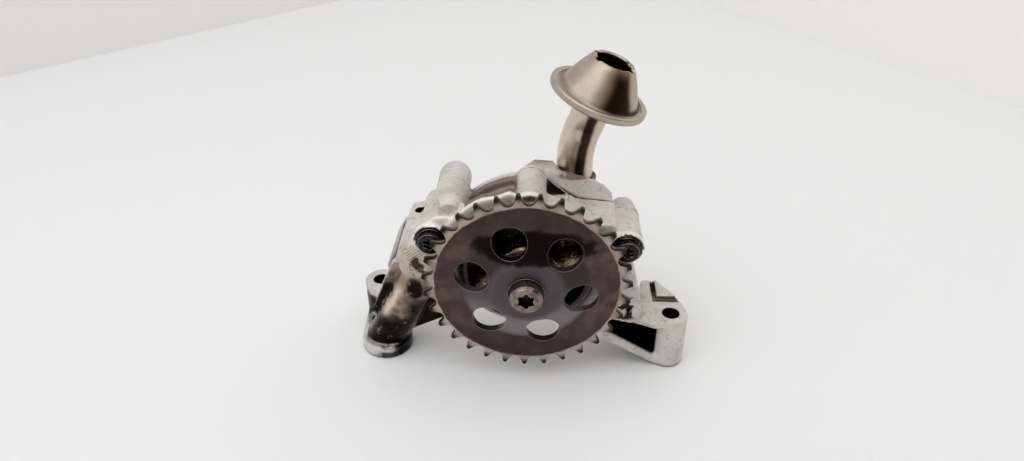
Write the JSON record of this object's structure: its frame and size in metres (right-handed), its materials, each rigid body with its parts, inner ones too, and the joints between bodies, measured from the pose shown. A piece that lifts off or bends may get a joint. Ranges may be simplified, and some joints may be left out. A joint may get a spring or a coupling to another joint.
{
  "type": "engine oil pump",
  "caption": "Chain driven rotor oil pump with a dished sprocket, cast feet, an outlet duct and a bell-mouthed pickup on a bent tube.",
  "frame": {"origin": "centre of the chain sprocket, on the drive shaft's axis and in the middle plane of the teeth", "axes": "+Y along the drive shaft, away from the sprocket into the pump; +Z away from the engine block's face; +X to the right as seen from the sprocket"},
  "size_m": [0.1419, 0.0765, 0.1289],
  "materials": {
    "cast_aluminium": "matt as-cast",
    "blackened_steel": "dark satin, heat treated",
    "dark_fastener": "dark oiled",
    "ground_steel": "ground",
    "bearing_bronze": "satin",
    "sintered_steel": "matt sintered",
    "plated_fastener": "plated satin",
    "spring_steel": "oiled",
    "plated_tube": "plated, oil stained",
    "seal_rubber": "matt",
    "pressed_steel": "drawn sheet, bright"
  },
  "bodies": {
    "casting": {"pump_body": "cast_aluminium", "rear_cover": "cast_aluminium", "front_bush": "bearing_bronze", "rear_bush": "bearing_bronze", "left_cover_screw": "dark_fastener", "right_cover_screw": "dark_fastener", "top_cover_screw": "plated_fastener", "relief_spring": "spring_steel", "pickup_tube": "plated_tube", "pickup_flange": "plated_tube", "pickup_seal": "seal_rubber", "pickup_bolt": "plated_fastener", "bell_base": "pressed_steel", "bell_cone": "pressed_steel", "strainer": "pressed_steel"},
    "drive": {"drive_sprocket": "blackened_steel", "sprocket_bolt": "dark_fastener", "sprocket_collar": "dark_fastener", "drive_shaft": "ground_steel", "inner_rotor": "sintered_steel"},
    "ring": {"outer_rotor": "sintered_steel"},
    "valve": {"relief_piston": "ground_steel"}
  },
  "joints": [
    {"name": "drive_spin", "type": "hinge", "parent": "casting", "child": "drive", "pos_m": [0, 0, 0], "axis": [0, 1, 0], "continuous": true},
    {"name": "outer_rotor_spin", "type": "hinge", "parent": "casting", "child": "ring", "pos_m": [0, 0, -0.0026], "axis": [0, 1, 0], "continuous": true},
    {"name": "relief_slide", "type": "slide", "parent": "casting", "child": "valve", "axis": [0, 1, 0], "range_m": [0, 0.005], "stiffness_N_per_m": 1000, "springref_m": -0.006, "deforming": ["relief_spring"]}
  ],
  "couplings": [
    {"joint": "outer_rotor_spin", "follows": "drive_spin", "ratio": 0.85714}
  ]
}
